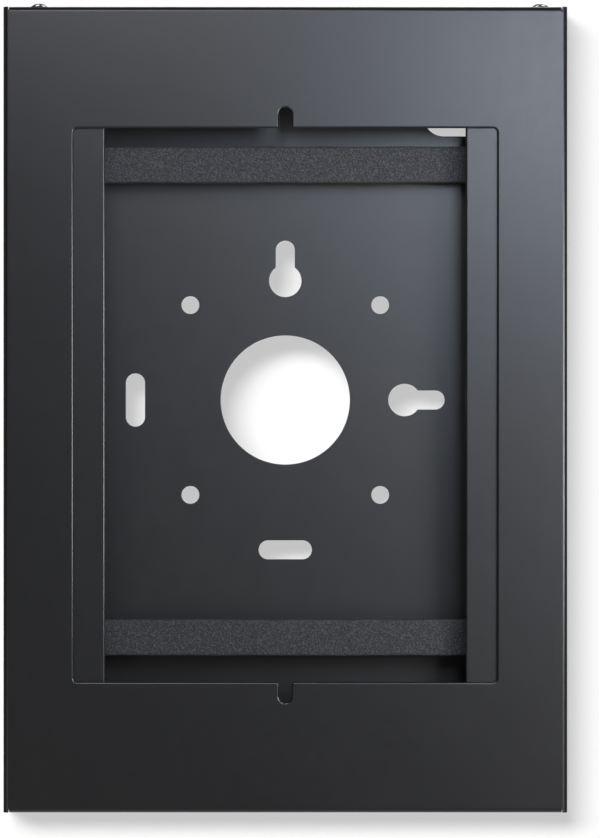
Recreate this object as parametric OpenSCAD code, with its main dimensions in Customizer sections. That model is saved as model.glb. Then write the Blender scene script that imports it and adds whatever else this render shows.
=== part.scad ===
// Lockable tablet wall mount: a folded steel wall plate and a folded steel cover with a display window.
// The origin is the middle of the square hole pattern, on the wall. The wall is the plane y = 0,
// the display looks towards -Y, and Z is up.

/* [Sheet metal] */
// Thickness of the steel sheet of the cover, wall plate and rails
sheet_t = 1.5; // [1:0.1:2]
// Inside radius of every fold
fold_in_r = 0.5; // [0.3:0.1:1.5]
// Open gap between the end of a short flange and the fold beside it
corner_gap = 0.4; // [0.2:0.1:1]
// Radius that rounds the front edges of the window and the rails
edge_round = 0.85; // [0.3:0.05:0.9]

/* [Cover] */
// Width of the cover outside
cover_w = 220.5; // [212:0.5:260]
// Height of the cover outside
cover_h = 315; // [300:1:360]
// Distance of the cover's front face from the wall
cover_d = 22; // [21:0.5:32]
// How far the middle of the cover lies below the middle of the hole pattern
cover_drop = 3.8; // [0:0.1:8]
// Air between the rear edges of the cover and the wall
wall_gap = 0.5; // [0.2:0.1:2]

/* [Window] */
// Width of the cover's border on each side of the window
border_side = 27.45; // [24:0.05:32]
// Height of the cover's border above the window
border_top = 47.5; // [40:0.5:56]
// Height of the cover's border below the window
border_foot = 51; // [42:0.5:60]
// Radius of the window's corners
window_corner_r = 1.6; // [1:0.1:6]
// Width of the round-ended notch in the window's top and bottom edges
notch_w = 5; // [4:0.5:10]
// Depth of the notch from the window's edge
notch_depth = 8; // [6:0.5:14]
// Radius of the two corners where the notch opens into the window
notch_mouth_r = 1; // [0.95:0.05:1.5]

/* [Wall plate] */
// Air between the wall plate and each side of the cover
side_play = 0.5; // [0.2:0.1:1.5]
// Air between the wall plate and the cover's bottom flange
foot_play = 0.8; // [0.4:0.1:2]
// How far the wall plate's flanges reach out from the wall
plate_flange_d = 17; // [15:0.5:18]
// Spacing of the four holes in their square
pattern_pitch = 75; // [70:1:80]
// Diameter of the four holes
pattern_hole_d = 7; // [4:0.5:9]
// Diameter of the cable hole in the middle
cable_hole_d = 51; // [40:1:60]

/* [Slots and keyholes] */
// Width of the two slots and of the narrow ends of the keyholes
slot_w = 7.5; // [5:0.5:9]
// Length of the two slots, end to end
slot_l = 21; // [16:0.5:30]
// Distance of the slots and of the keyholes' narrow ends from the middle
slot_reach = 59.2; // [56:0.1:62]
// Diameter of the keyholes' big ends
key_d = 12.8; // [10:0.2:14]
// Distance from the middle of a keyhole's big end to the middle of its narrow end
key_travel = 12.1; // [10:0.1:14]

/* [Camera cut-out] */
// Height of the cut-out behind the tablet's rear camera
camera_h = 16; // [12:0.5:20]
// Length of the cut-out, end to end
camera_l = 32; // [24:1:36]
// Distance of the cut-out's outer end from the wall plate's right side
camera_side = 21.65; // [12:0.05:30]
// Height of the cut-out's middle above the window's top edge
camera_rise = 6; // [0:0.5:10]

/* [Rails] */
// How far each rail reaches into the window
rail_reach = 12.3; // [8:0.1:20]
// How far a rail lies behind the cover's border beside the window
rail_lap = 14.7; // [12:0.1:18]
// How far a rail runs on past the window's top and bottom edges
rail_overrun = 21.75; // [16:0.25:30]
// Radius of a rail's corners
rail_corner_r = 3; // [1:0.5:6]
// Distance of the end studs from a rail's ends
stud_end = 18; // [6:0.5:30]
// Distance of the studs from a rail's outer edge
stud_inset = 6.5; // [5:0.5:8]

/* [Foam strips] */
// Width of a foam strip
foam_w = 14.5; // [10:0.5:25]
// Thickness of a foam strip
foam_t = 10; // [4:0.5:11]
// Bare wall plate beyond each end of a foam strip
foam_end = 13.25; // [6:0.25:20]
// Distance of the upper strip's middle from the window's top edge
foam_top_inset = 13.7; // [10:0.1:24]
// Distance of the lower strip's middle from the window's bottom edge
foam_foot_inset = 16.8; // [10:0.1:24]

/* [Cover screws] */
// Distance of the left cover screw from the cover's left side
screw_left_inset = 13.65; // [9:0.05:30]
// Distance of the right cover screw from the cover's right side
screw_right_inset = 9.65; // [9:0.05:30]
// Distance of the cover screws from the wall
screw_y = 10; // [8:0.5:11]
// Thread diameter of the cover screws
screw_d = 4; // [3:0.5:4]
// Length of the cover screws under the head
screw_l = 8; // [7:0.5:12]
// Diameter of the domed head
screw_head_d = 8; // [7.6:0.1:9]
// Height of the domed head
screw_head_h = 2.3; // [2:0.1:2.6]
// Height of the straight rim below the head's dome
screw_rim_h = 0.3; // [0.1:0.05:0.6]
// Width across the flats of the six-sided recess
recess_flats = 2.5; // [2:0.1:3]
// Depth of the recess
recess_depth = 1.3; // [0.8:0.1:1.6]
// Diameter of the pin that stands in the recess
recess_pin_d = 1; // [0.6:0.1:1.2]
// Air round a screw in the cover's flange
screw_hole_play = 0.25; // [0.1:0.05:0.5]
// Outer diameter of the press-in nuts
press_nut_d = 8; // [7:0.1:9]
// Height of the press-in nuts under the flange
press_nut_h = 2; // [1.5:0.1:3]
// Diameter of the press-in nuts' shank, which fills its hole in the flange
press_shank_d = 5.6; // [5.2:0.1:6.4]

/* [Rail studs and nuts] */
// Thread diameter of the studs
stud_d = 3; // [2.5:0.5:3]
// Length of the studs behind the cover's sheet
stud_l = 6; // [5.8:0.1:7]
// Diameter of the foot that is welded to the cover
stud_foot_d = 4.5; // [4:0.1:5]
// Thickness of that foot
stud_foot_t = 0.8; // [0.4:0.1:0.9]
// Air round the stud's foot in the rail
rail_hole_play = 0.3; // [0.1:0.05:0.6]
// Width of the rail nuts across their flats
rail_nut_flats = 5.5; // [5:0.1:6]
// Height of the rail nuts with their flange
rail_nut_h = 3.2; // [2.5:0.1:3.4]
// Diameter of the rail nuts' flange
rail_nut_flange_d = 8; // [7.6:0.1:9]
// Thickness of that flange
rail_nut_flange_t = 0.8; // [0.5:0.1:1.2]
// Air between a thread and its nut
thread_play = 0.05; // [0.03:0.01:0.1]

/* [Hooks] */
// Distance of each tongue's middle from the cover's side
tongue_inset = 40.25; // [30:0.25:60]
// Width of a tongue
tongue_w = 14; // [10:0.5:20]
// How far a tongue stands up past the wall plate's bottom flange
tongue_lift = 4; // [2:0.5:6]
// Distance from the wall to the line where a tongue is folded up
tongue_y = 5.5; // [4.5:0.1:6]
// Width of the cuts that free a tongue from the flange around it
lance_w = 1; // [0.6:0.1:1.5]
// Air round a tongue in its slot
tongue_play = 0.6; // [0.4:0.1:1]

/* [Hidden] */
$fn = 48;

coat = [0.21, 0.22, 0.23];
foam_grey = [0.26, 0.26, 0.27];
bare_steel = [0.72, 0.73, 0.75];
black_steel = [0.07, 0.07, 0.08];

// How far a cutting shape runs past the surface that it cuts
past = 0.3;
fold_r = sheet_t + fold_in_r;

cover_z = -cover_drop;
cover_top = cover_z + cover_h / 2;
cover_foot = cover_z - cover_h / 2;
face_back = cover_d - sheet_t;

window_w = cover_w - 2 * border_side;
window_h = cover_h - border_top - border_foot;
window_z = cover_z + (border_foot - border_top) / 2;
window_top = window_z + window_h / 2;
window_foot = window_z - window_h / 2;

// The cover hangs with its top flange on the wall plate's top flange
plate_w = cover_w - 2 * (sheet_t + side_play);
plate_top = cover_top - sheet_t;
plate_foot = cover_foot + sheet_t + foot_play;
plate_h = plate_top - plate_foot;
plate_z = (plate_top + plate_foot) / 2;

rail_gap = window_w - 2 * rail_reach;
rail_w = rail_reach + rail_lap;
rail_l = window_h + 2 * rail_overrun;
rail_x = (rail_gap + rail_w) / 2;
rail_back = face_back - sheet_t;
stud_x = rail_gap / 2 + rail_w - stud_inset;
stud_pitch = rail_l / 2 - stud_end;

foam_l = plate_w - 2 * foam_end;
camera_x = plate_w / 2 - camera_side - camera_l + camera_h / 2;
camera_z = window_top + camera_rise;
screw_xs = [screw_left_inset - cover_w / 2, cover_w / 2 - screw_right_inset];
tongue_x = cover_w / 2 - tongue_inset;

tongue_front = tongue_y + fold_r;
tongue_tip = plate_foot + sheet_t + tongue_lift;
tongue_len = tongue_tip - cover_foot;

// Draws its children's outline on a plane parallel to the wall: x stays, y becomes up,
// and the thickness runs from the distance near to the distance far from the wall.
module wall_slab(near, far) {
    rotate([90, 0, 0]) translate([0, 0, near]) linear_extrude(far - near) children();
}

module rounded_rect(w, h, r) {
    square([w - 2 * r, h], center = true);
    square([w, h - 2 * r], center = true);
    for (sx = [-1, 1], sz = [-1, 1])
        translate([sx * (w / 2 - r), sz * (h / 2 - r)]) circle(r);
}

// A slot with round ends, from one end's middle to the other's, along its own x axis
module slot_2d(w, centres) {
    translate([0, -w / 2]) square([centres, w]);
    for (x = [0, centres]) translate([x, 0]) circle(d = w);
}

// Section of one fold and its flange. The flange leaves the folded face towards +y.
module fold_section(leg) {
    intersection() {
        difference() {
            circle(fold_r);
            circle(fold_in_r);
        }
        translate([0, -fold_r]) square(fold_r);
    }
    translate([fold_in_r, 0]) square([sheet_t, leg]);
}

// A box folded from one sheet: the outer side of its face lies in y = 0 and its flanges reach y = d.
// The side flanges run the full height, and the top and bottom ones stop short of them.
// The children are the outlines cut out of the face.
module folded_box(w, h, d) {
    leg = d - fold_r;
    short_w = w - 2 * (fold_r + corner_gap);
    difference() {
        translate([0, sheet_t, 0]) wall_slab(0, sheet_t)
            square([w - 2 * fold_r, h - 2 * fold_r], center = true);
        translate([0, sheet_t, 0]) wall_slab(-past, sheet_t + past) children();
    }
    for (side = [0, 1]) mirror([side, 0, 0])
        translate([w / 2 - fold_r, fold_r, 0]) linear_extrude(h, center = true) fold_section(leg);
    for (end = [0, 1]) mirror([0, 0, end])
        translate([0, fold_r, h / 2 - fold_r]) rotate([0, -90, 0])
            linear_extrude(short_w, center = true) fold_section(leg);
}

// Section of the cutter that rounds a front edge. The edge is at the origin and the sheet lies at +x, -y.
module rounding_section() {
    difference() {
        translate([-past, -edge_round]) square(edge_round + past);
        translate([edge_round, -edge_round]) circle(edge_round);
    }
}

// Rounds a straight edge that runs along y, with the sheet at +x
module round_straight(l) {
    rotate([90, 0, 0]) linear_extrude(l, center = true) rounding_section();
}

// Rounds an edge that bends round the z axis, with the sheet outside it
module round_hollow(r, turn) {
    rotate_extrude(angle = turn) translate([r, 0]) rounding_section();
}

// Rounds an edge that bends round the z axis, with the sheet inside it
module round_nose(r, turn) {
    rotate_extrude(angle = turn) translate([r, 0]) mirror([1, 0]) rounding_section();
}

// The notch's outline, from the window's edge at y = 0 towards +y
module notch_outline() {
    translate([-notch_w / 2, -past]) square([notch_w, notch_depth - notch_w / 2 + past]);
    translate([0, notch_depth - notch_w / 2]) circle(d = notch_w);
    for (side = [0, 1]) mirror([side, 0]) difference() {
        translate([notch_w / 2, -past]) square([notch_mouth_r, notch_mouth_r + past]);
        translate([notch_w / 2 + notch_mouth_r, notch_mouth_r]) circle(notch_mouth_r);
    }
}

module notch_rounding() {
    straight = notch_depth - notch_w / 2 - notch_mouth_r;
    for (side = [0, 1]) mirror([side, 0, 0]) {
        translate([notch_w / 2, notch_mouth_r + straight / 2, 0]) round_straight(straight);
        translate([notch_w / 2 + notch_mouth_r, notch_mouth_r, 0])
            rotate([0, 0, 180]) round_nose(notch_mouth_r, 90);
    }
    translate([0, notch_depth - notch_w / 2, 0]) round_hollow(notch_w / 2, 180);
}

module window_outline() {
    rounded_rect(window_w, window_h, window_corner_r);
    for (end = [0, 1]) mirror([0, end]) translate([0, window_h / 2]) notch_outline();
}

module window_rounding() {
    for (side = [0, 1]) mirror([side, 0, 0]) {
        translate([window_w / 2, 0, 0]) round_straight(window_h - 2 * window_corner_r);
        for (end = [0, 1]) mirror([0, end, 0])
            translate([window_w / 2 - window_corner_r, window_h / 2 - window_corner_r, 0])
                round_hollow(window_corner_r, 90);
    }
    for (end = [0, 1]) mirror([0, end, 0]) translate([0, window_h / 2, 0]) {
        rotate([0, 0, 90]) round_straight(window_w - 2 * window_corner_r);
        notch_rounding();
    }
}

// A tongue folded up out of the cover's bottom flange. Its root is on the side of the wall.
module tongue() {
    translate([-tongue_w / 2, -tongue_y, cover_foot + fold_r]) rotate([90, 0, 90])
        linear_extrude(tongue_w) mirror([1, 0]) fold_section(tongue_len - fold_r);
}

// The opening that a tongue leaves in the flange, with the two cuts beside it
module lance_cut() {
    translate([-tongue_w / 2 - lance_w, -tongue_y - tongue_len, cover_foot - past])
        cube([tongue_w + 2 * lance_w, tongue_len, sheet_t + 2 * past]);
}

module cover_sheet() {
    difference() {
        translate([0, -cover_d, cover_z]) folded_box(cover_w, cover_h, cover_d - wall_gap)
            translate([0, window_z - cover_z]) window_outline();
        for (side = [-1, 1]) translate([side * tongue_x, 0, 0]) lance_cut();
    }
    for (side = [-1, 1]) translate([side * tongue_x, 0, 0]) tongue();
}

module front_cover() {
    color(coat) difference() {
        cover_sheet();
        translate([0, 0, window_z]) rotate([90, 0, 0]) translate([0, 0, cover_d]) window_rounding();
        for (x = screw_xs) translate([x, -screw_y, cover_top - sheet_t - past])
            cylinder(d = screw_d + 2 * screw_hole_play, h = sheet_t + 2 * past);
    }
}

module tongue_slot() {
    translate([-tongue_w / 2 - tongue_play, -tongue_front - tongue_play, plate_foot - past])
        cube([tongue_w + 2 * tongue_play, sheet_t + 2 * tongue_play, sheet_t + 2 * past]);
}

module plate_openings() {
    for (sx = [-1, 1], sz = [-1, 1])
        translate([sx * pattern_pitch / 2, sz * pattern_pitch / 2]) circle(d = pattern_hole_d);
    circle(d = cable_hole_d);
    // Slots on the left and below, keyholes above and on the right
    for (turn = [180, 270]) rotate(turn) translate([slot_reach, -(slot_l - slot_w) / 2])
        rotate(90) slot_2d(slot_w, slot_l - slot_w);
    for (turn = [0, 90]) rotate(turn) translate([slot_reach - key_travel, 0]) {
        circle(d = key_d);
        slot_2d(slot_w, key_travel);
    }
    translate([camera_x, camera_z]) slot_2d(camera_h, camera_l - camera_h);
}

module back_plate() {
    color(coat) difference() {
        translate([0, 0, plate_z]) mirror([0, 1, 0]) folded_box(plate_w, plate_h, plate_flange_d)
            translate([0, -plate_z]) plate_openings();
        for (x = screw_xs) translate([x, -screw_y, plate_top - sheet_t - past])
            cylinder(d = press_shank_d, h = sheet_t + 2 * past);
        for (side = [-1, 1]) translate([side * tongue_x, 0, 0]) tongue_slot();
    }
}

// A flat strip behind the cover, for the right side. Its inner front edge is rounded.
module rail() {
    difference() {
        translate([rail_x, 0, window_z]) wall_slab(rail_back, face_back)
            rounded_rect(rail_w, rail_l, rail_corner_r);
        translate([rail_gap / 2, 0, window_z]) rotate([90, 0, 0]) translate([0, 0, face_back])
            round_straight(rail_l - 2 * rail_corner_r);
        for (row = [-1, 0, 1]) translate([stud_x, -rail_back + past, window_z + row * stud_pitch])
            rotate([90, 0, 0]) cylinder(d = stud_foot_d + 2 * rail_hole_play, h = sheet_t + 2 * past);
    }
}

module rail_left() {
    color(coat) mirror([1, 0, 0]) rail();
}

module rail_right() {
    color(coat) rail();
}

module foam_strip(z) {
    color(foam_grey) translate([-foam_l / 2, -sheet_t - foam_t, z - foam_w / 2])
        cube([foam_l, foam_t, foam_w]);
}

// A domed screw that points down, with its head on z = 0
module cover_screw(x) {
    rise = screw_head_h - screw_rim_h;
    dome_r = (pow(screw_head_d / 2, 2) + rise * rise) / (2 * rise);
    color(black_steel) translate([x, -screw_y, cover_top]) difference() {
        union() {
            intersection() {
                cylinder(d = screw_head_d, h = screw_head_h);
                translate([0, 0, screw_head_h - dome_r]) sphere(dome_r);
            }
            translate([0, 0, -screw_l]) cylinder(d = screw_d, h = screw_l + past);
        }
        translate([0, 0, screw_head_h - recess_depth]) difference() {
            cylinder(d = recess_flats / cos(30), h = recess_depth + past, $fn = 6);
            translate([0, 0, -past]) cylinder(d = recess_pin_d, h = recess_depth - past);
        }
    }
}

// A nut pressed into the wall plate's top flange from below
module cover_nut(x) {
    color(bare_steel) translate([x, -screw_y, plate_top]) difference() {
        union() {
            translate([0, 0, -sheet_t]) cylinder(d = press_shank_d, h = sheet_t);
            translate([0, 0, -sheet_t - press_nut_h]) cylinder(d = press_nut_d, h = press_nut_h);
        }
        translate([0, 0, -sheet_t - press_nut_h - past])
            cylinder(d = screw_d + 2 * thread_play, h = sheet_t + press_nut_h + 2 * past);
    }
}

// Places what is made along +z, from the rear of the cover's sheet towards the wall
module at_stud(side, row) {
    translate([side * stud_x, -face_back, window_z + row * stud_pitch]) rotate([-90, 0, 0]) children();
}

module rail_stud(side, row) {
    color(bare_steel) at_stud(side, row) {
        cylinder(d = stud_foot_d, h = stud_foot_t);
        cylinder(d = stud_d, h = stud_l);
    }
}

module rail_nut(side, row) {
    color(bare_steel) at_stud(side, row) translate([0, 0, sheet_t]) difference() {
        union() {
            cylinder(d = rail_nut_flange_d, h = rail_nut_flange_t);
            cylinder(d = rail_nut_flats / cos(30), h = rail_nut_h, $fn = 6);
        }
        translate([0, 0, -past]) cylinder(d = stud_d + 2 * thread_play, h = rail_nut_h + 2 * past);
    }
}

back_plate();
front_cover();
rail_left();
rail_right();
foam_strip(window_top - foam_top_inset);  // foam_strip_top
foam_strip(window_foot + foam_foot_inset);  // foam_strip_bottom
cover_screw(screw_xs[0]);  // cover_screw_left
cover_screw(screw_xs[1]);  // cover_screw_right
cover_nut(screw_xs[0]);  // cover_nut_left
cover_nut(screw_xs[1]);  // cover_nut_right
rail_stud(-1, 1);  // stud_left_top
rail_stud(-1, 0);  // stud_left_middle
rail_stud(-1, -1);  // stud_left_bottom
rail_stud(1, 1);  // stud_right_top
rail_stud(1, 0);  // stud_right_middle
rail_stud(1, -1);  // stud_right_bottom
rail_nut(-1, 1);  // rail_nut_left_top
rail_nut(-1, 0);  // rail_nut_left_middle
rail_nut(-1, -1);  // rail_nut_left_bottom
rail_nut(1, 1);  // rail_nut_right_top
rail_nut(1, 0);  // rail_nut_right_middle
rail_nut(1, -1);  // rail_nut_right_bottom
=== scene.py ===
"""The looks of a lockable tablet wall mount: folded, powder-coated steel, foam strips and small fasteners."""

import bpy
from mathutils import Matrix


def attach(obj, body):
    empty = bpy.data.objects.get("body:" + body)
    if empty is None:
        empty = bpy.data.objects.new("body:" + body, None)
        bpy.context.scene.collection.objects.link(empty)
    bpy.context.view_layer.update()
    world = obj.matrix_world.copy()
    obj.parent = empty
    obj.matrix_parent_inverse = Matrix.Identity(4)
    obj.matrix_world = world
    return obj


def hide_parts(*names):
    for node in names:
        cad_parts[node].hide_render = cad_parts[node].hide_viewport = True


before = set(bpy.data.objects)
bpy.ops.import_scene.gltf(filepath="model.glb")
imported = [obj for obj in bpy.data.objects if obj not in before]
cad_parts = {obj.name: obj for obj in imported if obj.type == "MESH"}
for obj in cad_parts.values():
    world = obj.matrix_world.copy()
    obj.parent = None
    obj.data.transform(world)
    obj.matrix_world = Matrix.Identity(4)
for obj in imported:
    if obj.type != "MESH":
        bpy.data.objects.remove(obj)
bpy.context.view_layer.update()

import math

import bpy
import numpy as np
from mathutils import Vector
from mathutils.geometry import delaunay_2d_cdt

scene = bpy.context.scene
scene.view_settings.view_transform = "Standard"


# Wall plate. 1.5 mm steel sheet, punched with holes for four bolts, the cable and the keyholes,
# folded forwards on its four sides and powder coated, which leaves every cut edge softly rounded.
# It is bolted flat against the wall, and all the rest hangs on it. Sizes are in millimetres.
SHEET_T = 1.5
FOLD_R = 2.0
FOLD_STEPS = 8
CORNER_GAP, RELIEF_R = 0.2, 0.08
EDGE_SOFT = 0.2
ARC_STEPS = 5
CHORD_ERROR = 0.004
EDGE_SHINE = 0.5
MM = 0.001

PLATE_W, PLATE_H, PLATE_MID_Z, PLATE_FLANGE_D = 216.5, 311.2, -3.4, 17.0
PATTERN_PITCH, PATTERN_HOLE_D, CABLE_HOLE_D = 75.0, 7.0, 51.0
SLOT_W, SLOT_L, SLOT_REACH = 7.5, 21.0, 59.2
KEY_D, KEY_TRAVEL, KEY_WAIST_R = 12.8, 12.1, 0.5
CAMERA_LEFT, CAMERA_RIGHT, CAMERA_MID_Z, CAMERA_H = 54.6, 86.6, 112.2, 16.0
SCREW_XS, SCREW_Y = (-96.6, 100.6), -10.0
PRESS_SHANK_D = 5.6
TONGUE_X, TONGUE_SLOT_W, TONGUE_SLOT_FRONT, TONGUE_SLOT_REAR = 70.0, 15.2, -8.1, -5.4


def arc(x, z, radius, start, turn):
    """Points on a circle, from the angle start on over the angle turn, both in degrees.

    A row holds a point and the unit direction from the opening into the sheet. An outline is
    walked with the opening on its left, so that direction is the circle's radius where the walk
    turns left and the opposite where it turns right.
    """
    step = np.degrees(2 * np.arccos(1 - CHORD_ERROR / max(radius, 0.05)))
    angle = np.radians(start + turn * np.linspace(0, 1, max(int(np.ceil(abs(turn) / step)), 2) + 1))
    out = np.column_stack([np.cos(angle), np.sin(angle)])
    return np.hstack([[x, z] + radius * out, np.sign(turn) * out])


def closed(*arcs):
    """One closed outline from arcs joined by straight lines, without the points that coincide."""
    path = np.vstack(arcs)
    step = np.linalg.norm(path[:, :2] - np.roll(path[:, :2], 1, axis=0), axis=1)
    return path[step > 1e-6]


def rounded(corners, radii):
    """A closed outline with straight sides and round corners.

    Where the walk turns by the angle t, the arc starts radius times tan(t / 2) before the corner,
    and its centre lies at the radius from that point, on the side that the walk turns to.
    """
    corners = np.asarray(corners, float)
    before = corners - np.roll(corners, 1, axis=0)
    after = np.roll(corners, -1, axis=0) - corners
    heading = np.degrees(np.arctan2(before[:, 1], before[:, 0]))
    turn = (np.degrees(np.arctan2(after[:, 1], after[:, 0])) - heading + 180) % 360 - 180
    radii = np.broadcast_to(radii, len(corners))
    side = np.sign(turn)
    ahead = np.column_stack([np.cos(np.radians(heading)), np.sin(np.radians(heading))])
    left = np.column_stack([-ahead[:, 1], ahead[:, 0]])
    back_off = radii * np.tan(np.radians(np.abs(turn)) / 2)
    centre = corners - ahead * back_off[:, None] + left * (side * radii)[:, None]
    return closed(*[arc(x, z, r, h - 90 * s, t) for (x, z), r, h, s, t in zip(centre, radii, heading, side, turn)])


def oblong(x0, x1, z0, z1, radius):
    """A rectangle with round corners, walked as an opening."""
    return rounded([(x0, z0), (x1, z0), (x1, z1), (x0, z1)], radius)


def round_hole(x, z, diameter):
    return oblong(x - diameter / 2, x + diameter / 2, z - diameter / 2, z + diameter / 2, diameter / 2)


def turned(path, degrees):
    """The outline turned about the middle of the hole pattern."""
    c, s = np.cos(np.radians(degrees)), np.sin(np.radians(degrees))
    turn = np.array([[c, s], [-s, c]])
    return np.hstack([path[:, :2] @ turn, path[:, 2:] @ turn])


def keyhole():
    """A keyhole lying along +x: a large round hole, two short waist arcs and a narrow round end."""
    big, narrow = KEY_D / 2, SLOT_W / 2
    waist = np.sqrt((big + KEY_WAIST_R) ** 2 - (narrow + KEY_WAIST_R) ** 2)
    lean = np.degrees(np.arctan2(narrow + KEY_WAIST_R, waist))
    near = SLOT_REACH - KEY_TRAVEL
    return closed(arc(near, 0, big, lean, 360 - 2 * lean),
                  arc(near + waist, -narrow - KEY_WAIST_R, KEY_WAIST_R, 180 - lean, lean - 90),
                  arc(SLOT_REACH, 0, narrow, -90, 180),
                  arc(near + waist, narrow + KEY_WAIST_R, KEY_WAIST_R, 270, lean - 90))


def folded_border(line_x, line_z, flange):
    """The outer edge of a flat blank that becomes a box. line_x and line_z are its fold lines.

    The side flanges run the full height of the box, the short ones stop the gap before them, and
    flange is how far the blank goes on past a fold line.
    """
    inner, outer, full = line_x - CORNER_GAP, line_x + flange, line_z + FOLD_R
    quarter = [(inner, line_z + flange, 0.6), (inner, line_z, RELIEF_R), (line_x, line_z, RELIEF_R),
               (line_x, full, 0.25), (outer, full, 0.6)]
    right = quarter + [(x, -z, r) for x, z, r in quarter[::-1]]
    corners = right + [(-x, z, r) for x, z, r in right[::-1]]
    return rounded([corner[:2] for corner in corners], [corner[2] for corner in corners])


def fold_lines(line):
    """The places of the lines across which a blank bends, evenly spread round both folds."""
    if line is None:
        return np.zeros(0)
    past = line + FOLD_R * np.linspace(0, np.pi / 2, FOLD_STEPS + 1)
    return np.concatenate([-past[::-1], past])


def crossed(path, soft, axis, lines):
    """Adds a point wherever the outline's skin edge crosses one of the fold lines."""
    edge = path[:, axis] + soft * path[:, 2 + axis]
    rise = np.roll(edge, -1) - edge
    with np.errstate(divide="ignore", invalid="ignore"):
        share = (lines[None, :] - edge[:, None]) / rise[:, None]
    segment, line = np.nonzero((share > 1e-7) & (share < 1 - 1e-7))
    share = share[segment, line][:, None]
    extra = path[segment] * (1 - share) + np.roll(path, -1, axis=0)[segment] * share
    extra[:, axis] = lines[line] - soft * extra[:, 2 + axis]
    order = np.argsort(np.concatenate([np.arange(len(path)), segment + share[:, 0]]), kind="stable")
    return np.vstack([path, extra])[order]


def skin(loops, lines):
    """Triangles that fill the area between closed loops, with sides along the fold lines.

    A triangle of the whole plane is kept if a ray from its middle crosses the loops an odd number
    of times.
    """
    points = np.vstack(loops)
    ends, first = [], 0
    for loop in loops:
        here = np.arange(len(loop))
        ends.append(first + np.column_stack([here, np.roll(here, -1)]))
        first += len(loop)
    sides = np.vstack(ends)
    for axis in (0, 1):
        for line in lines[axis]:
            on = np.nonzero(np.abs(points[:, axis] - line) < 1e-6)[0]
            ends.append(on[np.argsort(points[on, 1 - axis])].reshape(-1, 2))
    found, _, faces, *_ = delaunay_2d_cdt(points.tolist(), np.vstack(ends).tolist(), [], 1, 1e-7)
    found, faces = np.array(found, float), np.array(faces)
    apart = np.abs(found[:, None] - points[None]).max(axis=2)
    nearest = apart.argmin(axis=1)
    known = apart.min(axis=1) < 1e-3
    found[known] = points[nearest[known]]
    middle = found[faces].mean(axis=1)[:, None]
    start, end = points[sides[:, 0]], points[sides[:, 1]]
    with np.errstate(divide="ignore", invalid="ignore"):
        meet = start[:, 0] + (middle[..., 1] - start[:, 1]) / (end - start)[:, 1] * (end - start)[:, 0]
    hits = ((start[:, 1] > middle[..., 1]) != (end[:, 1] > middle[..., 1])) & (middle[..., 0] < meet)
    return found, faces[hits.sum(axis=1) % 2 == 1]


def fold(flat, depth, lines):
    """Takes points of a flat blank, at a depth below its outer skin, to the folded sheet.

    Past a fold line the way along the outer skin runs round a quarter circle, then straight back.
    Returns the places as (across, back, up) and the directions that across, up and out become.
    """
    line_x, line_z = [np.inf if line is None else line for line in lines]
    by_side = np.abs(flat[:, 0]) > line_x - CORNER_GAP / 2
    along = np.where(by_side, flat[:, 0], flat[:, 1])
    line = np.where(by_side, line_x, line_z)
    side = np.sign(along)
    past = np.maximum(np.abs(along) - line, 0)
    angle = np.minimum(past / FOLD_R, np.pi / 2)
    across = side * (np.minimum(np.abs(along), line) + (FOLD_R - depth) * np.sin(angle))
    back = FOLD_R - (FOLD_R - depth) * np.cos(angle) + np.maximum(past - FOLD_R * np.pi / 2, 0)
    place = np.column_stack([np.where(by_side, across, flat[:, 0]), back,
                             np.where(by_side, flat[:, 1], across)])
    bent = np.zeros((len(flat), 3))
    bent[:, 1] = side * np.sin(angle)
    out = np.zeros((len(flat), 3))
    out[:, 1] = -np.cos(angle)
    axis = np.where(by_side, 0, 2)
    row = np.arange(len(flat))
    bent[row, axis] = np.cos(angle)
    out[row, axis] = side * np.sin(angle)
    straight = np.zeros((len(flat), 3))
    straight[row, 2 - axis] = 1
    sideways = np.where(by_side[:, None], bent, straight)
    upwards = np.where(by_side[:, None], straight, bent)
    return place, sideways, upwards, out


def grid_triangles(rows, columns, wrap_rows=False):
    """Two triangles for each cell of a grid of points whose columns close on themselves."""
    row = np.arange(rows if wrap_rows else rows - 1)[:, None]
    column = np.arange(columns)[None, :]
    below, beside = (row + 1) % rows, (column + 1) % columns
    a, b = row * columns + column, row * columns + beside
    c, d = below * columns + beside, below * columns + column
    return np.concatenate([np.stack([a, b, c], axis=-1).reshape(-1, 3), np.stack([a, c, d], axis=-1).reshape(-1, 3)])


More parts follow.
